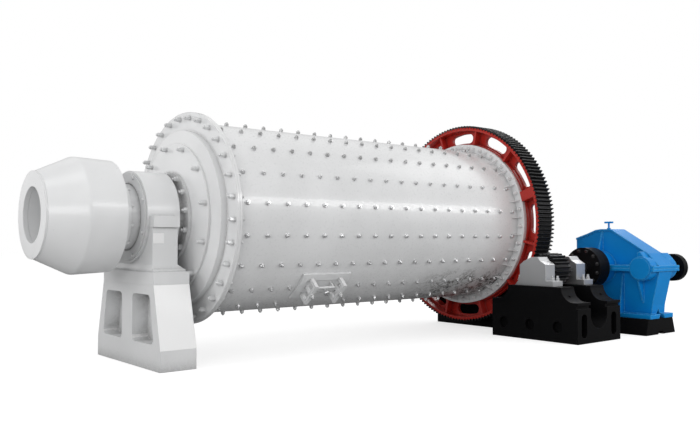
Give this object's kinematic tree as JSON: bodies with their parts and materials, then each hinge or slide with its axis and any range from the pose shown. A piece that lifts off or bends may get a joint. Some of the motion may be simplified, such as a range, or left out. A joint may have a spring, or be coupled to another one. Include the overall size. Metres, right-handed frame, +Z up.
{
  "type": "ball mill",
  "caption": "Horizontal ball mill: bolted grinding drum on trunnion bearings with a drum feeder, turned by a girth gear, pinion and gear reducer.",
  "frame": {"origin": "on the floor, under the middle of the feed bearing and the mill axis", "axes": "+X along the mill axis to the discharge end, -Y towards the drive side, +Z up"},
  "size_m": [8.352, 3.8628, 3.008],
  "materials": {
    "white_paint": "gloss",
    "red_paint": "gloss",
    "black_paint": "satin",
    "black_steel": "satin",
    "silver_paint": "satin",
    "bright_steel": "machined",
    "blue_paint": "gloss"
  },
  "bodies": {
    "frame": {"feed_pedestal": "white_paint", "feed_sole_plate": "white_paint", "feed_bearing_base": "white_paint", "feed_bearing_cap": "white_paint", "feed_outer_cover": "white_paint", "feed_inner_cover": "white_paint", "discharge_pedestal": "black_paint", "discharge_sole_plate": "white_paint", "discharge_bearing_base": "white_paint", "discharge_bearing_cap": "white_paint", "discharge_outer_cover": "white_paint", "discharge_inner_cover": "white_paint", "pinion_base": "black_paint", "near_pinion_bearing": "silver_paint", "far_pinion_bearing": "silver_paint", "reducer_plinth": "black_paint", "reducer_lower_case": "blue_paint", "reducer_upper_case": "blue_paint", "reducer_breather": "blue_paint", "input_bearing_cover": "blue_paint"},
    "mill": {"shell": "white_paint", "feed_shell_flange": "white_paint", "discharge_shell_flange": "white_paint", "feed_head": "white_paint", "discharge_head": "white_paint", "feed_trunnion": "white_paint", "discharge_trunnion": "white_paint", "feeder_drum": "white_paint", "feeder_mouth": "white_paint", "feeder_neck": "white_paint", "girth_gear_web": "red_paint", "girth_gear_teeth": "black_steel", "manhole_frame": "white_paint", "manhole_door": "white_paint", "near_manhole_clamp": "white_paint", "far_manhole_clamp": "white_paint"},
    "pinion_rotor": {"pinion": "black_steel", "pinion_shaft": "bright_steel", "pinion_coupling": "black_paint", "reducer_coupling": "black_paint", "output_shaft": "bright_steel"},
    "input_rotor": {"input_shaft": "bright_steel", "input_coupling": "black_paint"}
  },
  "joints": [
    {"name": "mill_spin", "type": "hinge", "parent": "frame", "child": "mill", "pos_m": [0, 0, 1.55], "axis": [1, 0, 0], "continuous": true},
    {"name": "pinion_spin", "type": "hinge", "parent": "frame", "child": "pinion_rotor", "pos_m": [5.152, -1.50779, 0.91], "axis": [1, 0, 0], "continuous": true},
    {"name": "input_spin", "type": "hinge", "parent": "frame", "child": "input_rotor", "pos_m": [7.167, -2.20779, 0.91], "axis": [1, 0, 0], "continuous": true}
  ],
  "couplings": [
    {"joint": "pinion_spin", "follows": "mill_spin", "ratio": -7.2727},
    {"joint": "input_spin", "follows": "mill_spin", "ratio": 32.727}
  ]
}
